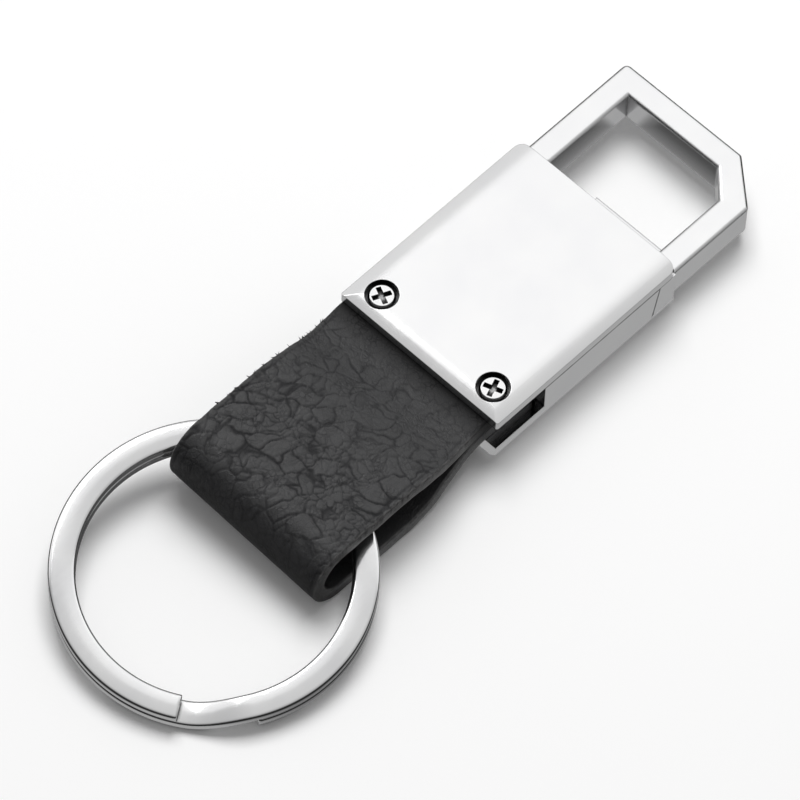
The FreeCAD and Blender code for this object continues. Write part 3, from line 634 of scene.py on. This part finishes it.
def wire_section():
    """Outline of the ring's flat wire, (out, up), with round corners and slightly crowned faces."""
    flat = RING_WIDTH / 2 - WIRE_CORNER
    half_t = TURN_THICK / 2
    section = []
    for quarter, (sx, sz) in enumerate(((1, 1), (-1, 1), (-1, -1), (1, -1))):
        for i in range(CORNER_STEPS + 1):
            angle = math.pi / 2 * (quarter + i / CORNER_STEPS)
            section.append((
                sx * flat + WIRE_CORNER * math.cos(angle),
                sz * (half_t - WIRE_CROWN - WIRE_CORNER) + WIRE_CORNER * math.sin(angle),
            ))
        if quarter in (0, 2):
            for i in range(1, CROWN_STEPS):
                share = 1 - 2 * i / CROWN_STEPS
                section.append((sx * flat * share, sz * (half_t - WIRE_CROWN * share * share)))
    return section


def build_ring():
    """The flat wire, wound twice, with the crimp where it steps from one turn to the next."""
    section = wire_section()
    centre, turn = ring_place()
    level = (TURN_THICK + TURN_GAP) / 2
    first = JOINT_SPAN / 2 + JOINT_SLIT
    last = 720 - first
    vertices = []
    for row in range(RING_STEPS + 1):
        angle = first + (last - first) * row / RING_STEPS
        share = min(max((angle - 360) / JOINT_SPAN + 0.5, 0), 1)
        rise = -level * math.cos(math.pi * share)
        spin = math.radians(angle)
        for along, up in section:
            radius = RING_OUTER - RING_WIDTH / 2 + along
            place = Vector((radius * math.cos(spin), radius * math.sin(spin), rise + up))
            vertices.append(centre + turn @ place)
    return add_mesh("ring_wire", vertices, tube_faces(RING_STEPS + 1, len(section)), ring_metal)


def build_spring():
    """The return spring's round wire, wound about the rod between its two seats."""
    first_x = SPRING_PLAY + SPRING_WIRE
    last_x = SPRING_END_X - SPRING_PLAY - SPRING_WIRE
    rows = SPRING_STEPS * SPRING_TURNS
    rise = (last_x - first_x) / SPRING_TURNS / (2 * math.pi)
    vertices = []
    for row in range(rows + 1):
        angle = 2 * math.pi * SPRING_TURNS * row / rows
        out = Vector((0, math.cos(angle), math.sin(angle)))
        along = Vector((rise, -SPRING_RADIUS * math.sin(angle), SPRING_RADIUS * math.cos(angle)))
        side = along.normalized().cross(out)
        centre = Vector((first_x + (last_x - first_x) * row / rows, ROD_Y, ROD_Z)) + out * SPRING_RADIUS
        for i in range(SPRING_SIDES):
            turn = 2 * math.pi * i / SPRING_SIDES
            vertices.append(centre + (out * math.cos(turn) + side * math.sin(turn)) * SPRING_WIRE)
    return add_mesh("coil_spring", vertices, tube_faces(rows + 1, SPRING_SIDES), steel)


# Without a seed the noise would bend the grain another way each run
field.seed_set(GRAIN_SEED)
strap = build_strap()
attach(strap, "housing")
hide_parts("strap")

ring = build_ring()
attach(ring, "ring")
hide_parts("split_ring")

spring = build_spring()
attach(spring, "housing")
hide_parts("return_spring")
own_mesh(spring)


# Floor, studio light and camera
def outside_box(tree, place, middle, half):
    """How far a place lies outside a box on the table, in metres, and below 0 inside it."""
    offset = vector_math(tree, "SUBTRACT", place, in_metres(middle))
    beyond = vector_math(tree, "SUBTRACT", vector_math(tree, "ABSOLUTE", offset), in_metres(half))
    sides = add(tree, "ShaderNodeSeparateXYZ", {"Vector": beyond})
    return math_node(tree, "MAXIMUM", sides.outputs["X"], sides.outputs["Y"])


def painted_table_reflection(tree):
    """A painted reflection of the table for the metal: grey by the part, dark beyond it, and painted shade
    in hook and ring.
    """
    place = add(tree, "ShaderNodeTexCoord").outputs["Object"]

    def shade(distance, fade, *stops):
        return ramp(tree, spread(tree, distance, 0.0, 1.0, *in_metres(fade)), *stops)

    # Painted reflection: a fixed grey near the part and dark farther out, with painted shade in hook and
    # ring
    beyond_part = outside_box(tree, place, PART_MIDDLE, PART_HALF)
    table = shade(beyond_part, PART_FADE, (0.0, 0.375), (1.0, 0.025))
    beyond_hook = outside_box(tree, place, HOOK_MIDDLE, HOOK_HALF)
    hook_painted_shade = shade(beyond_hook, HOOK_FADE, (0.0, 0.2), (0.6, 0.5), (1.0, 1.0))
    from_ring = vector_math(tree, "SUBTRACT", place, in_metres(RING_MIDDLE))
    radius = vector_math(tree, "LENGTH", from_ring, output="Value")
    ring_painted_shade = shade(radius, RING_FADE, (0.0, 0.2), (1.0, 1.0))
    return blended(tree, "MULTIPLY", table, blended(tree, "MULTIPLY", hook_painted_shade, ring_painted_shade))


def table_cleared(tree, path):
    """1 where the camera sees the table above a dipped piece, and everywhere from below."""
    below = add(tree, "ShaderNodeAmbientOcclusion", {"Distance": DIP_REACH * MM}, samples=16, inside=True)
    cleared = ramp(tree, below.outputs["AO"], (0.9, 1.0), (1.0, 0.0))
    cleared = math_node(tree, "MULTIPLY", cleared, path.outputs["Is Camera Ray"])
    underside = add(tree, "ShaderNodeNewGeometry").outputs["Backfacing"]
    return math_node(tree, "MAXIMUM", cleared, underside)


def add_floor():
    """A white table just under the part: even to the eye, and a glowing painted reflection, with painted
    shade, where the metal mirrors it.

    A pose that dips a piece below the table clears the table above it, and from below it is clear.
    """
    half = FLOOR_HALF * MM
    mesh = bpy.data.meshes.new("floor")
    corners = [(-half, -half, 0), (half, -half, 0), (half, half, 0), (-half, half, 0)]
    mesh.from_pydata(corners, [], [(0, 1, 2, 3)])
    floor = bpy.data.objects.new("floor", mesh)
    floor.location.z = -FLOOR_GAP * MM
    bpy.context.scene.collection.objects.link(floor)
    material, tree = new_material("white_table")
    path = add(tree, "ShaderNodeLightPath")
    plain = add(tree, "ShaderNodeBsdfDiffuse", {"Color": TABLE_WHITE})
    # Glossy rays see this glowing painted reflection instead of the lit table
    painted_reflection = add(tree, "ShaderNodeEmission", {"Color": painted_table_reflection(tree), "Strength": 1.0})
    clear = add(tree, "ShaderNodeBsdfTransparent")
    shader = mixed(tree, path.outputs["Is Glossy Ray"], plain, painted_reflection)
    shader = mixed(tree, table_cleared(tree, path), shader, clear)
    add(tree, "ShaderNodeOutputMaterial", {"Surface": shader.outputs[0]})
    mesh.materials.append(material)


def mirrored_studio(tree):
    """What the metal shows of the studio: a grey dome, a white panel at the back and a dim horizon."""
    way = add(tree, "ShaderNodeTexCoord").outputs["Generated"]
    dome = ramp(tree, vector_math(tree, "DOT_PRODUCT", way, DOME_WAY, "Value"), *DOME)
    panel = ramp(tree, vector_math(tree, "DOT_PRODUCT", way, PANEL_WAY, "Value"), *PANEL)
    height = add(tree, "ShaderNodeSeparateXYZ", {"Vector": way}).outputs["Z"]
    horizon = ramp(tree, height, *HORIZON)
    studio = blended(tree, "MULTIPLY", blended(tree, "LIGHTEN", dome, panel), horizon)
    under = ramp(tree, spread(tree, height, 0.0, 1.0, -1.0, 0.0), *UNDERNEATH)
    return blended(tree, "LIGHTEN", studio, under)


def add_world():
    """White to the camera, even soft light on the object, and a studio for its reflections."""
    world = bpy.data.worlds.new("studio")
    bpy.context.scene.world = world
    world.use_nodes = True
    tree = world.node_tree
    tree.nodes.clear()
    path = add(tree, "ShaderNodeLightPath")
    soft = add(tree, "ShaderNodeBackground", {"Color": (1, 1, 1, 1), "Strength": FILL_LIGHT})
    mirrored = add(tree, "ShaderNodeBackground", {"Color": mirrored_studio(tree), "Strength": 1.0})
    seen = add(tree, "ShaderNodeBackground", {"Color": (1, 1, 1, 1), "Strength": 1.0})
    lit = mixed(tree, path.outputs["Is Glossy Ray"], soft, mirrored)
    both = mixed(tree, path.outputs["Is Camera Ray"], lit, seen)
    add(tree, "ShaderNodeOutputWorld", {"Surface": both.outputs[0]})


def add_area(name, way, size, power):
    """A square lamp that points at the part from the way given, with its size in metres."""
    light = bpy.data.lights.new(name, "AREA")
    light.shape = "SQUARE"
    light.size = size
    light.energy = power
    lamp = bpy.data.objects.new(name, light)
    bpy.context.scene.collection.objects.link(lamp)
    way = Vector(way).normalized()
    lamp.location = Vector(in_metres(LAMP_TARGET)) + way * LAMP_DISTANCE * MM
    lamp.rotation_euler = way.to_track_quat("Z", "Y").to_euler()
    return lamp


def add_camera():
    azimuth, elevation, roll = map(math.radians, (CAMERA_AZIMUTH, CAMERA_ELEVATION, CAMERA_ROLL))
    back = Vector((
        math.sin(azimuth) * math.cos(elevation), -math.cos(azimuth) * math.cos(elevation),
        math.sin(elevation),
    ))
    level = Vector((math.cos(azimuth), math.sin(azimuth), 0))
    upward = back.cross(level)
    right = level * math.cos(roll) - upward * math.sin(roll)
    up = level * math.sin(roll) + upward * math.cos(roll)
    data = bpy.data.cameras.new("camera")
    data.lens = CAMERA_LENS
    data.sensor_width = CAMERA_SENSOR
    camera = bpy.data.objects.new("camera", data)
    bpy.context.scene.collection.objects.link(camera)
    place = Vector(in_metres(CAMERA_TARGET)) + back * CAMERA_DISTANCE * MM
    turn = Matrix((right, up, back)).transposed().to_4x4()
    camera.matrix_world = Matrix.Translation(place) @ turn
    bpy.context.scene.camera = camera


add_floor()
add_world()
key = add_area("key", (0.30, 0.27, 0.91), size=0.5, power=5.1)
key.visible_glossy = False
top = add_area("top", (0.15, 0.55, 0.82), size=0.26, power=0.55)
top.visible_diffuse = False
add_camera()
bpy.context.scene.view_settings.view_transform = "Standard"

bpy.context.view_layer.update()
